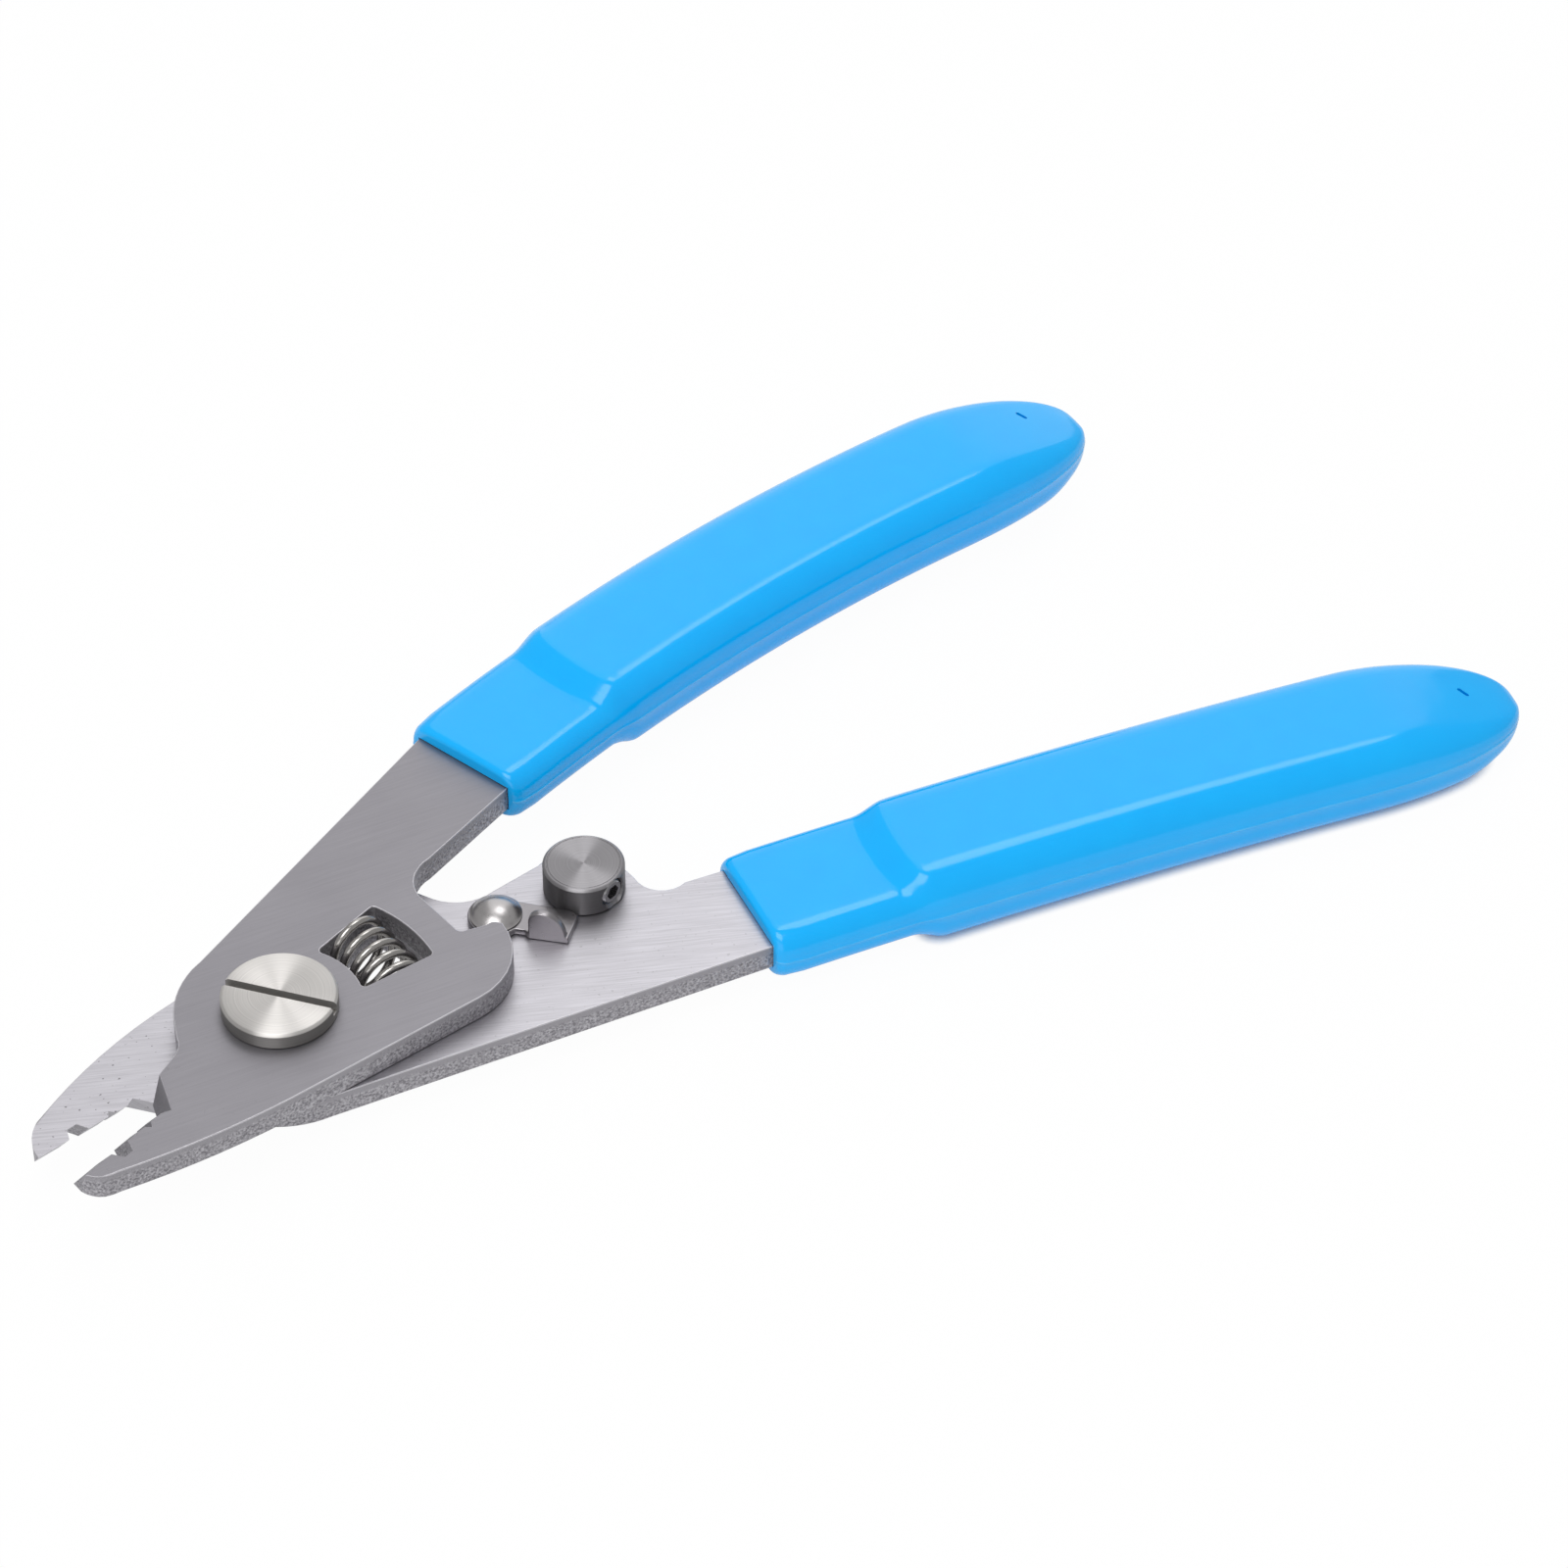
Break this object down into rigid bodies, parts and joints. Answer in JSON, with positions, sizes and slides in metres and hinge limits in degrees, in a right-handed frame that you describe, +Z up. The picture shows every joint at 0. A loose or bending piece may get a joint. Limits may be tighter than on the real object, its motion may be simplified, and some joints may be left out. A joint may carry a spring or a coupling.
{
  "type": "fibre stripper",
  "caption": "Hand fibre stripper with two notched steel jaws on a screw pivot, a return spring, a latch, a closing stop and moulded grips.",
  "frame": {"origin": "on the pivot axis, at the level on which the tool lies (the screw's lower end and the underside of the lower grip)", "axes": "+X along the tool from the pivot towards the grip ends, +Y towards the moving handle, +Z up out of the pivot screw's head"},
  "size_m": [0.1631, 0.0768, 0.0126],
  "materials": {
    "lower_steel": "ground bright",
    "upper_steel": "ground, darker",
    "grip": "glossy moulded vinyl",
    "turned_steel": "turned face",
    "hardware_steel": "plain",
    "spring_steel": "drawn wire",
    "nickel": "nickel plated"
  },
  "bodies": {
    "fixed_handle": {"lower_lever": "lower_steel", "lower_grip": "grip", "pivot_screw": "turned_steel", "pivot_nut": "hardware_steel", "return_spring": "spring_steel", "latch_rivet": "nickel", "stop_post": "hardware_steel"},
    "moving_handle": {"upper_lever": "upper_steel", "upper_grip": "grip"},
    "latch_arm": {"latch": "nickel"},
    "stop": {"stop_collar": "turned_steel", "stop_set_screw": "hardware_steel"}
  },
  "joints": [
    {"name": "handle_pivot", "type": "hinge", "parent": "fixed_handle", "child": "moving_handle", "pos_m": [0, 0, 0.0078], "axis": [0, 0, 1], "range_deg": [-12, 0], "stiffness_Nm_per_rad": 2.5, "deforming": ["return_spring"]},
    {"name": "latch_swing", "type": "hinge", "parent": "fixed_handle", "child": "latch_arm", "pos_m": [0.0262, -0.00075, 0.00675], "axis": [0, 0, 1], "range_deg": [-28, 0]},
    {"name": "stop_turn", "type": "hinge", "parent": "fixed_handle", "child": "stop", "pos_m": [0.0361, -0.0017, 0.008], "axis": [0, 0, 1], "range_deg": [0, 180]}
  ]
}
